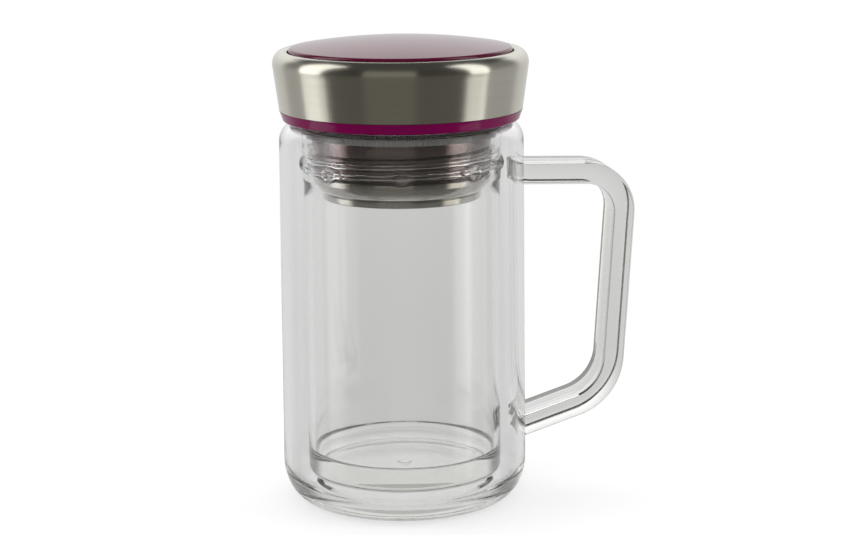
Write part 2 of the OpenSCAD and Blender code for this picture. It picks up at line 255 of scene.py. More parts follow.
def seat(piece: Piece, body: Body, slot: Slot, material: Material, *nodes: str) -> None:
    """Puts a finished piece into the frame in place of its CAD nodes.

    Args:
        piece: The piece.
        body: The body that it rides on.
        slot: The record's slot that its finish stands for; not used.
        material: Its finish.
        *nodes: The CAD nodes that it replaces.
    """
    piece.data.materials.clear()
    piece.data.materials.append(material)
    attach(piece, body.value)
    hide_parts(*nodes)
    faces, stands_for = len(piece.data.polygons), ", ".join(nodes)
    log.info("%s: %d faces, rides on %s, stands for %s", piece.name, faces, body.value, stands_for)


class Nodes:
    """A node tree, built node by node."""

    def __init__(self, tree: bpy.types.NodeTree) -> None:
        """Empties a tree and takes it over."""
        self.tree = tree
        self.tree.nodes.clear()

    def add(self, kind: str, inputs: Inputs | None = None, **settings: object) -> bpy.types.Node:
        """Adds a node.

        Args:
            kind: The node's type name.
            inputs: Values for its sockets, or sockets of other nodes to link to them.
            **settings: Values for the node's own properties.

        Returns:
            The node.
        """
        node = self.tree.nodes.new(kind)
        for key, value in settings.items():
            setattr(node, key, value)
        for key, value in (inputs or {}).items():
            if isinstance(value, Socket):
                self.tree.links.new(value, node.inputs[key])
            else:
                node.inputs[key].default_value = value
        return node

    def math(self, operation: str, *values: object) -> Socket:
        """Adds a Math node and gives its result."""
        return self.add("ShaderNodeMath", dict(enumerate(values)), operation=operation).outputs[0]


class Shading(Nodes):
    """One material's node tree."""

    def __init__(self, name: str) -> None:
        """Starts an empty material.

        Args:
            name: The material's name.
        """
        self.material = bpy.data.materials.new(name)
        self.material.use_nodes = True
        super().__init__(self.material.node_tree)
        self.output = self.add("ShaderNodeOutputMaterial")

    def place(self) -> Socket:
        """Gives Object coordinates."""
        return self.add("ShaderNodeTexCoord").outputs["Object"]

    def axes(self) -> list[Socket]:
        """Gives Object coordinates as X, Y and Z."""
        return list(self.add("ShaderNodeSeparateXYZ", {0: self.place()}).outputs)

    def noise(self, vector: object, scale: float, detail: float = 2.0) -> Socket:
        """Adds a noise pattern over coordinates and gives its value."""
        inputs = {"Vector": vector, "Scale": scale, "Detail": detail}
        return self.add("ShaderNodeTexNoise", inputs).outputs[0]

    def ramp(self, value: object, low: float, high: float) -> Socket:
        """Maps a value from 0..1 to low..high."""
        return self.add("ShaderNodeMapRange", {"Value": value, "To Min": low, "To Max": high}).outputs[0]

    def blend(self, share: object, a: Color, b: Color) -> Socket:
        """Mixes two colours by a share."""
        node = self.add("ShaderNodeMix", {0: share, 6: (*a, 1.0), 7: (*b, 1.0)}, data_type="RGBA")
        return node.outputs[2]

    def grain(self, fine: float, along: float) -> Socket:
        """Gives turned grain: lines that run round the axis on walls and tops alike.

        Args:
            fine: Lines per metre across the grain.
            along: Changes per metre along the grain.

        Returns:
            The grain's value, 0 to 1.
        """
        x, y, z = self.axes()
        radius = self.math("SQRT", self.math("ADD", self.math("MULTIPLY", x, x), self.math("MULTIPLY", y, y)))
        across = self.math("MULTIPLY", self.math("SUBTRACT", z, radius), fine)
        vector = self.add(
            "ShaderNodeCombineXYZ",
            {0: self.math("MULTIPLY", x, along), 1: self.math("MULTIPLY", y, along), 2: across},
        ).outputs[0]
        return self.noise(vector, 1.0, 3.0)

    def bump(self, height: object, distance: float, strength: float = 1.0) -> Socket:
        """Adds a bump of a depth in metres and gives its normal."""
        inputs = {"Height": height, "Distance": distance, "Strength": strength}
        return self.add("ShaderNodeBump", inputs).outputs[0]

    def finish(self, inputs: Inputs) -> Material:
        """Adds the Principled shader and connects it.

        Args:
            inputs: Values or sockets for the shader.

        Returns:
            The finished material.
        """
        shader = self.add("ShaderNodeBsdfPrincipled", inputs)
        self.tree.links.new(shader.outputs[0], self.output.inputs["Surface"])
        return self.material


@dataclass(frozen=True)
class ClearGlass:
    """Clear borosilicate glass with the slight wave of drawn tube, and a handle pressed from greyer glass."""

    name: str = "glass_clear"
    ior: float = 1.47
    tint: Color = (0.5, 0.505, 0.46)
    density: float = 12.0
    wave: float = 0.00002
    handle: Color = (0.98, 0.985, 0.98)
    handle_x: float = 39.6
    handle_soft: float = 1.2

    def material(self) -> Material:
        """Builds the material.

        Returns:
            The material.
        """
        s = Shading(self.name)
        stretch = s.add("ShaderNodeMapping", {"Vector": s.place(), "Scale": (1.0, 1.0, 0.25)}).outputs[0]
        wave = s.bump(s.noise(stretch, 70.0, 1.0), self.wave)
        inside = s.add("ShaderNodeVolumeAbsorption", {"Color": (*self.tint, 1.0), "Density": self.density})
        s.tree.links.new(inside.outputs[0], s.output.inputs["Volume"])
        at = self.handle_x * MM
        reach = {"Value": s.axes()[0], "From Min": at, "From Max": at + self.handle_soft * MM}
        handle = s.add("ShaderNodeMapRange", reach).outputs[0]
        return s.finish(
            {
                "Base Color": s.blend(handle, (1.0, 1.0, 1.0), self.handle),
                "Roughness": 0.0,
                "IOR": self.ior,
                "Transmission Weight": 1.0,
                "Normal": wave,
            }
        )


@dataclass(frozen=True)
class TurnedSteel:
    """Stainless steel with grain that runs round the axis."""

    name: str
    light: Color = (0.64, 0.62, 0.545)
    dark: Color = (0.54, 0.52, 0.445)
    rough: Point = (0.19, 0.26)
    anisotropy: float = 0.9
    fine: float = 5200.0
    depth: float = 0.0000012

    def material(self) -> Material:
        """Builds the material.

        Returns:
            The material.
        """
        s = Shading(self.name)
        grain = s.grain(self.fine, 45.0)
        cloud = s.noise(s.place(), 60.0, 3.0)
        tone = s.math("MULTIPLY_ADD", grain, 0.7, s.math("MULTIPLY", cloud, 0.3))
        return s.finish(
            {
                "Base Color": s.blend(tone, self.dark, self.light),
                "Metallic": 1.0,
                "Roughness": s.ramp(tone, *self.rough),
                "Anisotropic": self.anisotropy,
                "Anisotropic Rotation": 0.25,
                "Tangent": s.add("ShaderNodeTangent", direction_type="RADIAL", axis="Z").outputs[0],
                "Normal": s.bump(grain, self.depth),
            }
        )


@dataclass(frozen=True)
class GlossPlastic:
    """Moulded glossy plastic, bare or plated with metal."""

    name: str
    color: Color
    shade: Color
    rough: float = 0.1
    metallic: float = 0.0
    ior: float = 1.5
    sheen: float = 0.5
    ripple: float = 0.00001

    def material(self) -> Material:
        """Builds the material.

        Returns:
            The material.
        """
        s = Shading(self.name)
        cloud = s.noise(s.place(), 90.0, 3.0)
        peel = s.noise(s.place(), 420.0, 1.0)
        return s.finish(
            {
                "Base Color": s.blend(cloud, self.shade, self.color),
                "Metallic": self.metallic,
                "Roughness": s.ramp(cloud, self.rough * 0.8, self.rough * 1.25),
                "IOR": self.ior,
                "Specular IOR Level": self.sheen,
                "Normal": s.bump(peel, self.ripple, 0.35),
            }
        )


@dataclass(frozen=True)
class SoftSilicone:
    """Milky silicone rubber."""

    name: str = "silicone_milky"
    color: Color = (0.93, 0.92, 0.9)
    ribs: int = 220

    def material(self) -> Material:
        """Builds the material.

        Returns:
            The material.
        """
        s = Shading(self.name)
        cloud = s.noise(s.place(), 130.0, 3.0)
        x, y, _ = s.axes()
        turn = s.math("ARCTAN2", y, x)
        rib = s.math("SINE", s.math("MULTIPLY", turn, float(self.ribs)))
        return s.finish(
            {
                "Base Color": s.blend(cloud, tuple(c * 0.9 for c in self.color), self.color),
                "Roughness": s.ramp(cloud, 0.3, 0.42),
                "IOR": 1.41,
                "Transmission Weight": 0.1,
                "Subsurface Weight": 0.2,
                "Subsurface Scale": 0.001,
                "Normal": s.bump(rib, 0.00012),
            }
        )


@dataclass(frozen=True)
class MattePlastic:
    """Plain moulded or foamed plastic that no one looks at closely."""

    name: str
    color: Color
    rough: float = 0.5
    grain: float = 800.0

    def material(self) -> Material:
        """Builds the material.

        Returns:
            The material.
        """
        s = Shading(self.name)
        speck = s.noise(s.place(), self.grain, 2.0)
        return s.finish(
            {
                "Base Color": s.blend(speck, tuple(c * 0.82 for c in self.color), self.color),
                "Roughness": s.ramp(speck, self.rough * 0.85, min(1.0, self.rough * 1.2)),
                "Normal": s.bump(speck, 0.00002),
            }
        )


@dataclass
class Thread:
    """A single-start right-hand screw ridge."""

    start: float
    turns: float
    pitch: float = 3.2
    foot: float = 1.8
    crest: float = 0.7
    fade: float = 40.0

    def share(self, p: Vector) -> float:
        """Gives the share of the ridge's full height at a point.

        Args:
            p: A point on the wall, in metres.

        Returns:
            0 on the bare wall, 1 on the crest.
        """
        turn = math.degrees(math.atan2(p.y, p.x)) % 360.0
        best = 0.0
        for k in range(math.ceil(self.turns)):
            a = turn + 360.0 * k
            if a > 360.0 * self.turns:
                break
            off = abs(p.z / MM - self.start - self.pitch * a / 360.0)
            side = min(1.0, max(0.0, (self.foot / 2 - off) / (self.foot / 2 - self.crest / 2)))
            ends = min(1.0, min(a, 360.0 * self.turns - a) / self.fade)
            best = max(best, side * side * (3 - 2 * side) * ends)
        return best


@dataclass
class Beads:
    """Round beads moulded on the outside of the neck."""

    radius: float
    count: int = 8
    outline: float = 2.6
    height: float = 1.2
    z: float = 109.0
    first: float = -98.0

    def share(self, p: Vector) -> float:
        """Gives the share of a bead's full height at a point.

        Args:
            p: A point on the neck, in metres.

        Returns:
            0 between the beads, 1 on top of one.
        """
        step = 360.0 / self.count
        turn = (math.degrees(math.atan2(p.y, p.x)) - self.first + step / 2) % step - step / 2
        off = math.hypot(math.radians(turn) * self.radius, p.z / MM - self.z)
        if off >= self.outline:
            return 0.0
        ball = (self.outline**2 + self.height**2) / (2 * self.height)
        return (math.sqrt(ball**2 - off**2) - ball + self.height) / self.height


@dataclass(frozen=True)
class Bend:
    """A straight stretch of the handle's strap and the bend after it, seen from the front."""

    aim: Point
    centre: Point
    turn: float
    steps: int


@dataclass
class MugGlass:
    """The welded glass: outer wall, inner cup with its threaded neck, and strap handle."""

    height: float = 123.0
    top_r: float = 38.75
    base_r: float = 39.3
    wall: float = 2.2
    shoulder_r: float = 6.5
    corner_in: float = 8.8
    corner_up: float = 13.0
    floor: float = 5.0
    foot_width: float = 1.2
    kick_up: float = 2.4
    kick_slope: float = 2.4
    tip_r: float = 2.4
    tip_z: float = 1.0
    cup_r: float = 31.2
    cup_wall: float = 1.8
    cup_z: float = 8.2
    cup_floor: float = 8.0
    cup_corner: float = 3.0
    bowl_corner: float = 1.6
    hollow_rise: float = 0.1
    rim_edge: float = 1.6
    neck_r: float = 30.0
    neck_wall: float = 1.5
    neck_z: float = 105.0
    neck_slope: float = 1.5
    strap_width: float = 16.0
    strap_thick: float = 6.9
    strap_round: float = 1.0
    strap_start: Point = (37.1, 105.2)
    strap_tilt: float = -1.5
    bends: tuple[Bend, ...] = (
        Bend((58.76, 104.63), (58.44, 92.14), 92.2, 18),
        Bend((67.83, 43.72), (50.27, 44.86), 68.1, 16),
    )
    strap_end: Point = (37.1, 22.0)
    thread_z: float = 106.6
    thread_turns: float = 2.5
    thread_height: float = 1.2
    thread_low: float = 105.0
    thread_top: float = 116.5
    beads_low: float = 105.5
    beads_top: float = 112.5
    steps: int = 240
    crease: float = 32.0

    @property
    def shoulder_z(self) -> float:
        """Height where the straight wall ends."""
        return self.height - self.shoulder_r

    def outside(self) -> list[Point]:
        """Draws the glass that one can touch.

        Returns:
            The profile, from under the foot over the rim to the cup's floor.
        """
        foot = self.base_r - self.corner_in
        kick = foot - self.foot_width
        drop = self.kick_up - self.tip_z
        ball = (self.tip_r**2 + drop**2) / (2 * drop)
        reach = math.degrees(math.asin(self.tip_r / ball))
        rim = self.neck_r + self.rim_edge
        cup = self.cup_r - self.cup_wall
        cup_z = self.cup_z + self.cup_floor
        edge_z, shoulder = self.height - self.rim_edge, self.top_r - self.shoulder_r
        return [
            *circle(0.0, self.tip_z + ball, ball, -90.0, -90.0 + reach, 6),
            *run((self.tip_r, self.kick_up), (kick - self.kick_slope, self.kick_up), 6)[1:],
            *run((kick - self.kick_slope, self.kick_up), (kick, 0.0), 3)[1:],
            *arc(foot, self.corner_up, self.corner_in, self.corner_up, -90.0, 0.0, 24),
            *run((self.base_r, self.corner_up), (self.top_r, self.shoulder_z), 24)[1:-1],
            *circle(shoulder, self.shoulder_z, self.shoulder_r, 0.0, 90.0, 20),
            *circle(rim, edge_z, self.rim_edge, 90.0, 180.0, 10),
            *run((self.neck_r, edge_z), (self.neck_r, self.thread_top), 6)[1:-1],
            *run((self.neck_r, self.thread_top), (self.neck_r, self.neck_z), 64),
            *run((cup, self.neck_z - self.neck_slope), (cup, cup_z + self.bowl_corner), 16),
            *circle(cup - self.bowl_corner, cup_z + self.bowl_corner, self.bowl_corner, 0.0, -90.0, 16),
            *run((cup - self.bowl_corner, cup_z), (0.0, cup_z), 6)[1:],
        ]

    def hollow(self) -> list[Point]:
        """Draws the sealed gap between the walls.

        Returns:
            The profile, from over the outer floor to under the cup.
        """
        foot = self.base_r - self.corner_in
        wide = self.top_r - self.wall
        neck = self.neck_r + self.neck_wall
        at, top = self.top_r - self.shoulder_r, self.shoulder_z + self.hollow_rise
        bend, corner = self.shoulder_r - self.wall, at - neck
        cup, cup_low = self.cup_r - self.cup_corner, self.cup_z + self.cup_corner
        return [
            *run((0.0, self.floor), (foot, self.floor), 6)[:-1],
            *arc(
                foot, self.corner_up, self.corner_in - self.wall, self.corner_up - self.floor, -90.0, 0.0, 18
            ),
            *run((self.base_r - self.wall, self.corner_up), (wide, self.shoulder_z), 16)[1:],
            *circle(at, top, bend, 0.0, 90.0, 18),
            *circle(at, top + bend - corner, corner, 90.0, 180.0, 8)[1:],
            *run((neck, self.shoulder_z), (neck, self.beads_top), 4),
            *run((neck, self.beads_top), (neck, self.beads_low), 14)[1:],
            (neck, self.neck_z),
            *run((self.cup_r, self.neck_z - self.neck_slope), (self.cup_r, cup_low), 16),
            *circle(cup, cup_low, self.cup_corner, 0.0, -90.0, 16),
            *run((cup, self.cup_z), (0.0, self.cup_z), 6)[1:],
        ]

    @staticmethod
    def stretch(here: Vector, aim: Point, steps: int = 8) -> Vector:
        """Extrudes the strap's open end face along a straight line.

        Args:
            here: Where the face is, in millimetres.
            aim: Where it goes.
            steps: Number of extrusions.

        Returns:
            Where the face is then.
        """
        for stop in run(tuple(here), tuple(Vector(aim)), steps)[1:]:
            step = Vector(stop) - here
            move = (step.x * MM, 0.0, step.y * MM)
            bpy.ops.mesh.extrude_region_move(TRANSFORM_OT_translate={"value": move})
            here = Vector(stop)
        return here

    def strap(self) -> Piece:
        """Sweeps the handle's strap from the wall out, down and back, by moves and spins of one end face.

        Returns:
            The strap, closed at both ends inside the wall.
        """
        here = Vector(self.strap_start)
        Bench.clear()
        bpy.ops.mesh.primitive_plane_add(size=1.0, rotation=(0.0, math.radians(90.0 - self.strap_tilt), 0.0))
        strap = bpy.context.object
        strap.name = strap.data.name = "strap"
        strap.scale = (self.strap_thick * MM, self.strap_width * MM, 1.0)
        strap.location = (here.x * MM, 0.0, here.y * MM)
        bpy.ops.object.transform_apply(location=True, rotation=True, scale=True)
        bpy.ops.object.mode_set(mode="EDIT")
        bpy.ops.mesh.select_all(action="SELECT")
        bpy.ops.mesh.bevel(affect="VERTICES", offset=self.strap_round * MM, segments=6, profile=0.5)
        for bend in self.bends:
            here = self.stretch(here, bend.aim)
            centre, turn = Vector(bend.centre), math.radians(-bend.turn)
            pivot = (centre.x * MM, 0.0, centre.y * MM)
            bpy.ops.mesh.spin(steps=bend.steps, angle=turn, center=pivot, axis=(0.0, 1.0, 0.0))
            here = centre + Matrix.Rotation(turn, 2) @ (here - centre)
        self.stretch(here, self.strap_end)
        Bench.close()
        return strap

    def build(self) -> Piece:
        """Builds the welded glass.

        Returns:
            The glass, one closed mesh with its sealed hollow.
        """
        glass = Bench.turn("mug_glass", self.outside(), self.steps)
        near, low, top = (self.neck_r + 2 * NEAR) * MM, self.thread_low * MM, self.thread_top * MM
        thread = Thread(start=self.thread_z, turns=self.thread_turns)

        def ridge(p: Vector) -> float:
            """Gives the ridge's share on the neck's inside, and 0 elsewhere."""
            return thread.share(p) if p.xy.length < near and low < p.z < top else 0.0

        Bench.press(glass, ridge, self.thread_height)
        strap = self.strap()
        weld = glass.modifiers.new("weld", "BOOLEAN")
        weld.operation, weld.solver, weld.object = "UNION", "EXACT", strap
        Bench.apply(glass)
        bpy.data.objects.remove(strap)
        hollow = Bench.turn("mug_hollow", self.hollow(), self.steps, hollow=True)
        neck = self.neck_r + self.neck_wall
        beads = Beads(radius=neck)

        def bead(p: Vector) -> float:
            """Gives the beads' share on the neck's outside, and 0 elsewhere."""
            return beads.share(p) if abs(p.xy.length / MM - neck) < NEAR else 0.0

        Bench.press(hollow, bead, beads.height)
        glass = Bench.join([glass, hollow])
        Bench.smooth(glass, self.crease)
        welded = ("outer_glass", "inner_glass", "glass_handle", "base_seal_tip")
        seat(glass, Body.MUG, Slot.GLASS, ClearGlass().material(), *welded)
        return glass


@dataclass
class LidShell:
    """The lid's outside: steel band, domed disc and collar, with the hidden core and pad."""

    band_low_r: float = 38.5
    band_z: float = 126.4
    flare: float = 1.9
    side: float = 14.4
    crown_in: float = 3.2
    crown_up: float = 4.25
    sheet: float = 0.8
    lip_in: float = 1.45
    lip_drop: float = 0.6
    hem: float = 0.25
    disc_r: float = 35.25
    disc_z: float = 142.7
    disc_edge: float = 3.2
    disc_round: float = 1.0
    disc_chamfer: float = 0.2
    dome: float = 2.9
    collar_z: float = 123.1
    collar_in_r: float = 34.0
    collar_low_r: float = 37.6
    collar_round: float = 0.8

    def band(self) -> Piece:
        """Builds the drawn steel band with its rounded shoulder and turned-in lip.

        Returns:
            The piece, in object mode.
        """
        wide = self.band_low_r + self.flare
        wide_z = self.band_z + self.side
        top = wide - self.crown_in
        lip_z = wide_z + self.crown_up - self.lip_drop
        hem = self.hem
        return Bench.lathe(
            "lid_band",
            [
                *circle(self.band_low_r - hem, self.band_z + hem, hem, -90.0, 0.0, 5),
                *run((self.band_low_r, self.band_z + hem), (wide, wide_z), 10)[1:-1],
                *arc(top, wide_z, self.crown_in, self.crown_up, 0.0, 90.0, 24),
                *arc(top, lip_z, self.lip_in, self.lip_drop, 90.0, 180.0, 10),
                (top - self.lip_in, lip_z - self.sheet),
                *arc(top, wide_z, self.crown_in - self.sheet, self.crown_up - self.sheet, 90.0, 0.0, 12),
                (self.band_low_r - self.sheet, self.band_z),
                (self.band_low_r - hem, self.band_z),
            ],
            steps=256,
        )

    def disc(self) -> Piece:
        """Builds the domed disc with its rounded edge.

        Returns:
            The piece, in object mode.
        """
        flat = self.disc_r - self.disc_round
        edge_z = self.disc_z + self.disc_edge
        ball = (flat**2 + self.dome**2) / (2 * self.dome)
        reach = math.degrees(math.asin(flat / ball))
        return Bench.lathe(
            "lid_disc",
            [
                (0.0, self.disc_z),
                (self.disc_r - self.disc_chamfer, self.disc_z),
                (self.disc_r, self.disc_z + self.disc_chamfer),
                *circle(flat, edge_z - self.disc_round, self.disc_round, 0.0, 90.0 - reach, 12),
                *circle(0.0, edge_z + self.dome - ball, ball, 90.0 - reach, 90.0, 40)[1:],
            ],
            steps=256,
        )

    def collar(self) -> Piece:
        """Builds the collar between band and glass.

        Returns:
            The piece, in object mode.
        """
        r, z, low = self.collar_round, self.collar_z, self.collar_low_r
        return Bench.lathe(
            "lid_collar",
            [
                (self.collar_in_r, z),
                *circle(low - r, z + r, r, -90.0, 0.0, 10),
                (self.band_low_r, self.band_z),
                (self.collar_in_r, self.band_z),
                (self.collar_in_r, z),
            ],
            steps=256,
        )

    def build(self, nodes: dict[str, Piece]) -> None:
        """Builds and dresses the lid's outer pieces.

        Args:
            nodes: The CAD nodes by name, for the hidden ones that stay.
        """
        steel = TurnedSteel("steel_brushed").material()
        seat(self.band(), Body.LID, Slot.BAND, steel, "steel_band")
        disc = GlossPlastic("disc_magenta", (0.13, 0.004, 0.035), (0.1, 0.003, 0.028), rough=0.08).material()
        seat(self.disc(), Body.LID, Slot.DISC, disc, "top_disc")
        collar = GlossPlastic(
            "collar_magenta", (0.22, 0.0, 0.082), (0.19, 0.0, 0.07), rough=0.12, sheen=0.2
        ).material()
        seat(self.collar(), Body.LID, Slot.COLLAR, collar, "collar")
        dress(nodes["lid_core"], MattePlastic("core_white", (0.72, 0.7, 0.66), 0.45).material())
        dress(nodes["disc_pad"], MattePlastic("pad_black", (0.03, 0.03, 0.03), 0.8, 2500.0).material())


def dress(node: Piece, material: Material) -> None:
    """Gives a CAD node that stays a better material.

    Args:
        node: The CAD node.
        material: Its finish.
    """
    for index in range(max(1, len(node.material_slots))):
        if index >= len(node.material_slots):
            node.data.materials.append(material)
        node.material_slots[index].material = material
    log.info("%s: CAD node dressed as %s", node.name, material.name)


@dataclass
class LidPlug:
    """The threaded plug under the lid, the plate that closes it, and the gasket on the rim."""

    r: float = 28.2
    bore: float = 25.8
    z: float = 107.0
    chamfer: float = 0.6
    flange_z: float = 124.2
    flange_top: float = 126.4
    flange_r: float = 34.0
    spigot_r: float = 26.2
    spigot_bore: float = 24.2
    spigot_z: float = 104.6
    plate_r: float = 26.0
    plate: float = 0.5
    gasket_in: float = 28.5
    gasket_out: float = 32.7
    gasket_z: float = 123.1
    gasket_top: float = 124.1
    lip_out: float = 29.8
    lip_z: float = 118.6
    edge: float = 0.15
    floor: float = 2.4
    thread_z: float = 108.2
    thread_turns: float = 2.0
    thread_height: float = 1.4
    thread_top: float = 115.5

    def plug(self) -> Piece:
        """Builds the plug with its flange, screw ridge and spigot.

        Returns:
            The piece, in object mode.
        """
        piece = Bench.turn(
            "lid_plug",
            [
                (self.spigot_bore, self.spigot_z),
                (self.spigot_r - self.edge, self.spigot_z),
                (self.spigot_r, self.spigot_z + self.edge),
                (self.spigot_r, self.z),
                (self.r - self.chamfer, self.z),
                *run((self.r, self.z + self.chamfer), (self.r, self.thread_top), 50),
                (self.r, self.flange_z),
                (self.flange_r, self.flange_z),
                (self.flange_r, self.flange_top),
                (self.bore, self.flange_top),
                (self.bore, self.z + self.floor),
                (self.spigot_bore, self.z + self.floor),
                (self.spigot_bore, self.spigot_z),
            ],
            steps=240,
        )
        thread = Thread(start=self.thread_z, turns=self.thread_turns)
        top = (self.thread_top + NEAR) * MM

        def ridge(p: Vector) -> float:
            """Gives the ridge's share on the plug's wall, and 0 elsewhere."""
            return thread.share(p) if abs(p.xy.length / MM - self.r) < NEAR and p.z < top else 0.0

        Bench.press(piece, ridge, self.thread_height)
        return Bench.smooth(piece)

    def cover(self) -> Piece:
        """Builds the pressed plate that closes the plug's underside.

        Returns:
            The piece, in object mode.
        """
        low, r, edge = self.spigot_z - self.plate, self.plate_r, self.edge
        return Bench.lathe(
            "lid_plate",
            [
                (0.0, low),
                *circle(r - edge, low + edge, edge, -90.0, 0.0, 4),
                *circle(r - edge, low + self.plate - edge, edge, 0.0, 90.0, 4),
                (0.0, low + self.plate),
            ],
        )

    def gasket(self) -> Piece:
        """Builds the silicone ring between flange and rim.

        Returns:
            The piece, in object mode.
        """
        low, top, r = self.gasket_z, self.gasket_top, 0.25
        return Bench.lathe(
            "lid_gasket",
            [
                (self.gasket_in, self.lip_z),
                *circle(self.lip_out - r, self.lip_z + r, r, -90.0, 0.0, 5),
                *run((self.lip_out, self.lip_z + r), (self.lip_out, low), 6)[1:],
                *circle(self.gasket_out - r, low + r, r, -90.0, 0.0, 5),
                *circle(self.gasket_out - r, top - r, r, 0.0, 90.0, 5),
                (self.gasket_in, top),
                (self.gasket_in, self.lip_z),
            ],
        )

    def build(self, silicone: Material) -> None:
        """Builds and dresses plug, plate and gasket.

        Args:
            silicone: The finish of the soft rings.
        """
        # Painted reflection: the plating's darkened, pinkish colour stands in for the dark front and the
        # magenta collar mirrored in it.
        plated = GlossPlastic(
            "plug_plated_painted_reflection", (0.31, 0.25, 0.25), (0.25, 0.19, 0.2), rough=0.14, metallic=1.0
        ).material()
        seat(self.plug(), Body.LID, Slot.PLUG, plated, "screw_plug")
        plate = TurnedSteel("steel_plate", rough=(0.16, 0.26), anisotropy=0.5).material()
        seat(self.cover(), Body.LID, Slot.PLATE, plate, "plug_plate")
        seat(self.gasket(), Body.GASKET, Slot.SILICONE, silicone, "rim_gasket")


@dataclass
class TeaStrainer:
    """The push-on strainer: drawn bowl, crimped ring, perforated bottom and silicone ring."""

    bowl_r: float = 28.2
    top_z: float = 106.4
    bend_z: float = 105.0
    bowl_in: float = 3.3
    bowl_down: float = 4.2
    low_z: float = 99.5
    sheet: float = 0.5
    ring_r: float = 25.5
    ring_z: float = 98.7
    ring_top: float = 100.6
    lip_r: float = 23.6
    mesh_z: float = 99.0
    seal_in: float = 26.25
    seal_top: float = 106.3

    @property
    def waist(self) -> float:
        """Radius of the bowl's lower lip."""
        return self.bowl_r - self.bowl_in

    def bowl(self) -> Piece:
        """Builds the drawn bowl with its rolled rim.

        Returns:
            The piece, in object mode.
        """
        r, sheet, hem = self.bowl_r, self.sheet, self.sheet / 2
        return Bench.lathe(
            "tea_bowl",
            [
                (self.waist - sheet, self.low_z),
                (self.waist, self.low_z),
                *arc(self.waist, self.bend_z, self.bowl_in, self.bowl_down, -90.0, 0.0, 22),
                *circle(r - hem, self.top_z - hem, hem, 0.0, 180.0, 8),
                *arc(self.waist - sheet, self.bend_z, self.bowl_in, self.bowl_down - sheet, 0.0, -90.0, 14),
                (self.waist - sheet, self.low_z),
            ],
            steps=256,
        )

    def ring(self) -> Piece:
        """Builds the crimped ring that holds the bottom.

        Returns:
            The piece, in object mode.
        """
        r, low, top, hem = self.ring_r, self.ring_z, self.ring_top, 0.25
        return Bench.lathe(
            "tea_ring",
            [
                (self.lip_r, low),
                *circle(r - hem, low + hem, hem, -90.0, 0.0, 5),
                *circle(r - hem, top - hem, hem, 0.0, 90.0, 5),
                (self.waist, top),
                (self.waist, self.mesh_z),
                (self.lip_r, self.mesh_z),
                (self.lip_r, low),
            ],
            steps=256,
        )

    def seal(self) -> Piece:
        """Builds the silicone ring that grips the spigot.

        Returns:
            The piece, in object mode.
        """
        out, low, top, r = self.bowl_r - self.sheet, self.bend_z, self.seal_top, 0.2
        return Bench.lathe(
            "tea_seal",
            [
                (self.seal_in, low),
                (out, low),
                (out, top),
                *circle(self.seal_in + r, top - r, r, 90.0, 180.0, 5),
                (self.seal_in, low),
            ],
        )

    def build(self, nodes: dict[str, Piece], silicone: Material) -> None:
        """Builds and dresses the strainer.

        Args:
            nodes: The CAD nodes by name, for the perforated bottom that stays.
            silicone: The finish of the soft rings.
        """
        steel = TurnedSteel(
            "steel_polished",
            light=(0.66, 0.645, 0.61),
            dark=(0.58, 0.565, 0.53),
            rough=(0.1, 0.18),
            anisotropy=0.35,
            fine=3000.0,
            depth=0.0000004,
        ).material()
        seat(self.bowl(), Body.STRAINER, Slot.STRAINER, steel, "strainer_bowl")
        seat(self.ring(), Body.STRAINER, Slot.STRAINER, steel, "strainer_ring")
        seat(self.seal(), Body.STRAINER, Slot.SILICONE, silicone, "strainer_seal")
        punched = TurnedSteel("steel_punched", rough=(0.22, 0.34), anisotropy=0.0).material()
        dress(nodes["strainer_mesh"], punched)


@dataclass
class PhotoCamera:
    """The photograph's viewpoint."""

    distance: float = 700.0
    height: float = 222.1
    around: float = -8.0
    yaw: float = 0.648
    pitch: float = 11.89
    roll: float = 0.5
    focal_px: float = 2229.0
    image_px: float = 855.0
    sensor: float = 36.0

    def build(self) -> Piece:
        """Places the camera and makes it the scene's.

        Returns:
            The camera.
        """
        data = bpy.data.cameras.new("photo_camera")
        data.sensor_width = self.sensor
        data.lens = self.focal_px / self.image_px * self.sensor
        data.clip_start, data.clip_end = 0.05, 20.0
        camera = bpy.data.objects.new("photo_camera", data)
        bpy.context.scene.collection.objects.link(camera)
        yaw, pitch, roll = (math.radians(a) for a in (self.yaw, self.pitch, self.roll))
        ahead = Vector((math.sin(yaw) * math.cos(pitch), math.cos(yaw) * math.cos(pitch), -math.sin(pitch)))
        right = Vector((math.cos(yaw), -math.sin(yaw), 0.0))
        up = right.cross(ahead)
        tilted = right * math.cos(roll) - up * math.sin(roll)
        upright = right * math.sin(roll) + up * math.cos(roll)
        turn = Matrix((tilted, upright, -ahead)).transposed().to_4x4()
        place = Matrix.Translation((0.0, -self.distance * MM, self.height * MM))
        camera.matrix_world = Matrix.Rotation(math.radians(self.around), 4, "Z") @ place @ turn
        bpy.context.scene.camera = camera
        log.info("camera: %.1f mm lens at %s", data.lens, tuple(round(c, 4) for c in camera.location))
        return camera


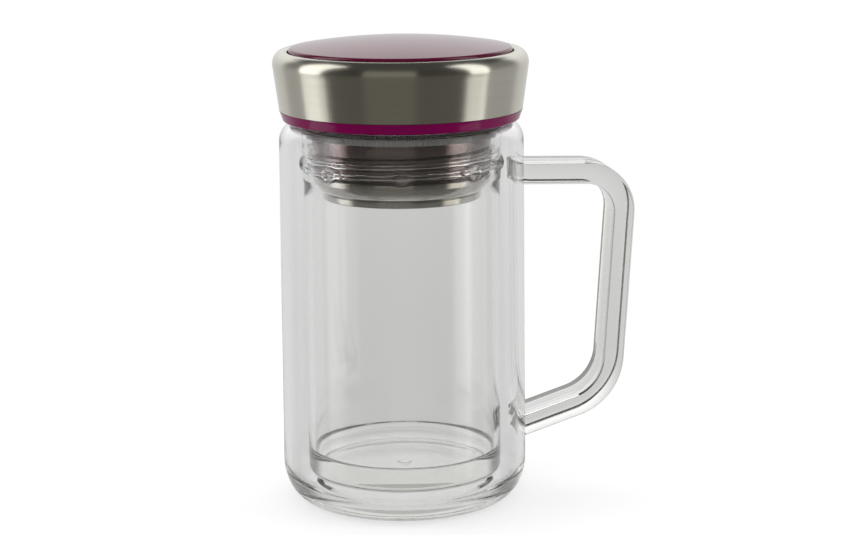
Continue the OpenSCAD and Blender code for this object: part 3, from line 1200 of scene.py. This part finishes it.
@dataclass(frozen=True)
class Softbox:
    """One soft studio lamp, placed by its direction from the mug."""

    name: str
    around: float
    above: float
    distance: float
    width: float
    height: float
    radiance: float
    mirrored: bool = True
    aim_z: float = 0.1

    def build(self) -> Piece:
        """Places the lamp so that it faces the mug.

        Returns:
            The lamp.
        """
        data = bpy.data.lights.new(self.name, "AREA")
        data.shape = "RECTANGLE"
        data.size, data.size_y = self.width, self.height
        data.energy = self.radiance * math.pi * self.width * self.height
        lamp = bpy.data.objects.new(self.name, data)
        bpy.context.scene.collection.objects.link(lamp)
        a, e = math.radians(self.around), math.radians(self.above)
        back = Vector((math.sin(a) * math.cos(e), -math.cos(a) * math.cos(e), math.sin(e)))
        lamp.location = back * self.distance + Vector((0.0, 0.0, self.aim_z))
        lamp.rotation_mode = "QUATERNION"
        lamp.rotation_quaternion = back.to_track_quat("Z", "Y")
        lamp.visible_camera = False
        lamp.visible_glossy = self.mirrored
        log.info("lamp %s: radiance %.2f", self.name, self.radiance)
        return lamp


class Sky(Nodes):
    """The world's node tree, which mixes strengths of light by direction."""

    def pick(self, share: object, a: object, b: object) -> Socket:
        """Mixes two strengths by a share."""
        return self.add("ShaderNodeMix", {0: share, 2: a, 3: b}).outputs[0]

    def step(self, value: object, span: Point, ends: Point = (0.0, 1.0)) -> Socket:
        """Goes softly from one end to the other while a value crosses a span.

        Args:
            value: The value.
            span: Where it starts and stops to count.
            ends: The strengths before and after.

        Returns:
            The strength.
        """
        inputs = {"Value": value, "From Min": span[0], "From Max": span[1]}
        inputs |= {"To Min": ends[0], "To Max": ends[1]}
        return self.add("ShaderNodeMapRange", inputs, interpolation_type="SMOOTHSTEP").outputs[0]

    def angle(self, value: object, span: Point, ends: Point = (0.0, 1.0)) -> Socket:
        """Goes softly from one end to the other while an angle crosses a span in degrees."""
        return self.step(value, (math.radians(span[0]), math.radians(span[1])), ends)

    def off(self, turn: object, at: float) -> Socket:
        """Gives how far a direction is from one in degrees."""
        return self.math("ABSOLUTE", self.math("SUBTRACT", turn, math.radians(at)))


@dataclass
class Studio:
    """White table, white surroundings and soft lamps, as they stand round the photograph's viewpoint."""

    table_r: float = 0.24
    table_z: float = -0.00005
    speckle: float = 0.01
    around: float = -8.0
    table: float = 0.5
    glow: float = 0.66
    seen: float = 1.0
    through: Point = (0.7, 0.775)
    through_z: Point = (-0.24, -0.12)
    front: Point = (0.12, 0.05)
    card: Point = (0.15, 0.27)
    front_z: Point = (-0.2, 0.1)
    card_at: float = -10.0
    card_half: float = 23.0
    card_soft: float = 2.0
    boxes: Point = (-87.0, 73.5)
    inner: float = 1.0
    inner_at: Point = (8.0, 18.0)
    inner_z: Point = (-0.5, -0.2)
    side: Point = (0.48, 0.25)
    side_z: Point = (0.02, 0.2)
    side_at: Point = (78.0, 84.0)
    back: Point = (0.72, 1.2)
    back_z: Point = (-0.15, 0.5)
    back_at: Point = (122.0, 138.0)
    top: float = 0.07
    top_z: Point = (0.45, 0.65)
    warm: Color = (1.0, 0.96, 0.86)
    diffuse: float = 0.55

    def lamps(self) -> list[Softbox]:
        """Gives the lamps."""
        a, (left, right) = self.around, self.boxes
        return [
            Softbox("box_left", a + left, 26.0, 0.9, 0.44, 1.1, 1.7),
            Softbox("box_right", a + right, 26.0, 0.9, 0.34, 1.1, 1.7),
            Softbox("card_left", a + left, -24.0, 0.9, 0.44, 0.32, 1.1),
            Softbox("card_right", a + right, -24.0, 0.9, 0.34, 0.32, 1.1),
            Softbox("box_top", a + 180.0, 62.0, 1.1, 0.9, 0.7, 1.2, mirrored=False),
        ]

    def floor(self) -> Piece:
        """Builds the pale table top, which metal and glass look through to the surroundings.

        Returns:
            The table top.
        """
        Bench.clear()
        place = (0.0, 0.0, self.table_z)
        bpy.ops.mesh.primitive_circle_add(vertices=128, radius=self.table_r, fill_type="NGON", location=place)
        table = bpy.context.object
        table.name = "table_top"
        bpy.ops.object.transform_apply(location=True, rotation=True, scale=True)
        s = Shading("table_white")
        path = s.add("ShaderNodeLightPath").outputs
        glow = s.add("ShaderNodeEmission", {"Strength": s.math("MULTIPLY", path["Is Camera Ray"], self.glow)})
        speck = s.noise(s.place(), 300.0, 2.0)
        dark, light = (self.table - self.speckle,) * 3, (self.table + self.speckle,) * 3
        base = s.add("ShaderNodeBsdfDiffuse", {"Color": s.blend(speck, dark, light)})
        both = s.add("ShaderNodeAddShader", {0: base.outputs[0], 1: glow.outputs[0]})
        clear = s.math("MAXIMUM", path["Is Transmission Ray"], path["Is Glossy Ray"])
        gone = s.add("ShaderNodeBsdfTransparent")
        shown = s.add("ShaderNodeMixShader", {0: clear, 1: both.outputs[0], 2: gone.outputs[0]})
        s.tree.links.new(shown.outputs[0], s.output.inputs["Surface"])
        table.data.materials.append(s.material)
        return table

    def world(self) -> bpy.types.World:
        """Builds the surroundings: white to the eye, pale through glass, and in gloss dark in front.

        Returns:
            The world.
        """
        world = bpy.data.worlds.new("studio_white")
        bpy.context.scene.world = world
        world.use_nodes = True
        s = Sky(world.node_tree)
        path = s.add("ShaderNodeLightPath").outputs
        sky = s.add("ShaderNodeTexCoord").outputs["Generated"]
        about = {"Vector": sky, "Angle": math.radians(-self.around)}
        turned = s.add("ShaderNodeVectorRotate", about, rotation_type="Z_AXIS")
        x, y, z = s.add("ShaderNodeSeparateXYZ", {0: turned.outputs[0]}).outputs
        turn = s.math("ARCTAN2", x, s.math("MULTIPLY", y, -1.0))
        away = s.math("ABSOLUTE", turn)
        card_edge = (self.card_half, self.card_half + self.card_soft)
        card = s.angle(s.off(turn, self.card_at), card_edge, (1.0, 0.0))
        front = s.pick(card, s.step(z, self.front_z, self.front), s.step(z, self.front_z, self.card))
        side = s.step(z, self.side_z, self.side)
        back = s.step(z, self.back_z, self.back)
        aside = s.angle(away, self.side_at)
        gloss = s.pick(s.angle(away, self.back_at), s.pick(aside, front, side), back)
        gloss = s.pick(s.step(z, self.top_z), gloss, self.top)
        near = [s.off(turn, at) for at in self.boxes]
        box = s.angle(s.math("MINIMUM", *near), self.inner_at, (1.0, 0.0))
        inside = s.math("GREATER_THAN", path["Transmission Depth"], 0.5)
        box = s.math("MULTIPLY", s.math("MULTIPLY", box, s.step(z, self.inner_z)), inside)
        gloss = s.math("MULTIPLY_ADD", box, self.inner, gloss)
        bounced = s.math("GREATER_THAN", path["Glossy Depth"], 0.5)
        through = s.step(z, self.through_z, self.through)
        strength = s.pick(path["Is Transmission Ray"], self.diffuse, through)
        strength = s.pick(bounced, strength, gloss)
        strength = s.pick(path["Is Camera Ray"], strength, self.seen)
        dim = s.math("MULTIPLY", bounced, s.math("SUBTRACT", 1.0, aside))
        tints = {0: dim, 6: (1.0, 1.0, 1.0, 1.0), 7: (*self.warm, 1.0)}
        color = s.add("ShaderNodeMix", tints, data_type="RGBA").outputs[2]
        background = s.add("ShaderNodeBackground", {"Color": color, "Strength": strength})
        output = s.add("ShaderNodeOutputWorld")
        s.tree.links.new(background.outputs[0], output.inputs[0])
        return world

    def build(self, glass: Piece) -> None:
        """Builds the table, the surroundings and the lamps.

        Args:
            glass: The mug's glass, which shows no mirror image of the lamps in the photograph.
        """
        self.floor()
        self.world()
        spared = bpy.data.collections.new("spared")
        spared.objects.link(glass)
        spared.collection_objects[0].light_linking.link_state = "EXCLUDE"
        for box in self.lamps():
            lamp = box.build()
            if box.mirrored:
                lamp.light_linking.receiver_collection = spared
        scene = bpy.context.scene
        scene.view_settings.view_transform = "Standard"
        scene.cycles.max_bounces = 32
        scene.cycles.transmission_bounces = 32
        scene.cycles.glossy_bounces = 12
        scene.cycles.transparent_max_bounces = 16


def main() -> None:
    """Builds the mug piece by piece on the CAD frame, and its studio."""
    logging.basicConfig(level=logging.INFO, format="%(name)s: %(message)s")
    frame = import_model()
    nodes = frame["nodes"]
    silicone = SoftSilicone().material()
    glass = MugGlass().build()
    LidShell().build(nodes)
    LidPlug().build(silicone)
    TeaStrainer().build(nodes, silicone)
    PhotoCamera().build()
    Studio().build(glass)
    Bench.clear()


if __name__ == "__main__":
    main()
